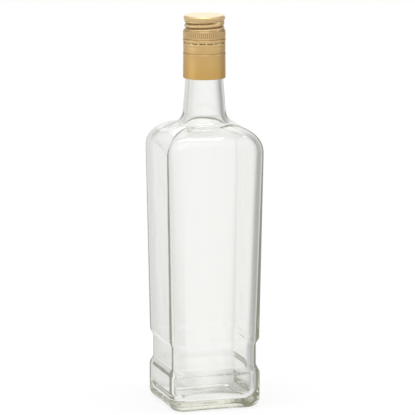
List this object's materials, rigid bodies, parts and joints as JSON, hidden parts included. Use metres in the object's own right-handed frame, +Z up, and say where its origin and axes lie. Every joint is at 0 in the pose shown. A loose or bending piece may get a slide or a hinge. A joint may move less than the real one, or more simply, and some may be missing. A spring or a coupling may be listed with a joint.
{
  "type": "screw-cap bottle",
  "caption": "Tall square clear-glass spirit bottle with rounded shoulders, a pressed-in waist and a roll-on aluminium screw cap with tamper band.",
  "frame": {"origin": "middle of the base, on the plane the bottle stands on", "axes": "+Z up along the bottle's axis, -Y out of the front face"},
  "size_m": [0.0726, 0.0726, 0.2857],
  "materials": {
    "flint_glass": "clear, smooth, with a stippled base edge",
    "gold_shell": "satin gold lacquer",
    "liner_foam": "white foam"
  },
  "bodies": {
    "bottle": {"bottle": "flint_glass", "tamper_band": "gold_shell"},
    "liner": {"liner": "liner_foam"},
    "cap": {"cap": "gold_shell"}
  },
  "joints": [
    {"name": "cap_lift", "type": "slide", "parent": "bottle", "child": "liner", "axis": [0, 0, 1], "range_m": [0, 0.0197]},
    {"name": "cap_turn", "type": "hinge", "parent": "liner", "child": "cap", "pos_m": [0, 0, 0.27], "axis": [0, 0, 1], "range_deg": [0, 2160]}
  ],
  "couplings": [
    {"joint": "cap_lift", "follows": "cap_turn", "m_per_rad": 0.0005093}
  ]
}
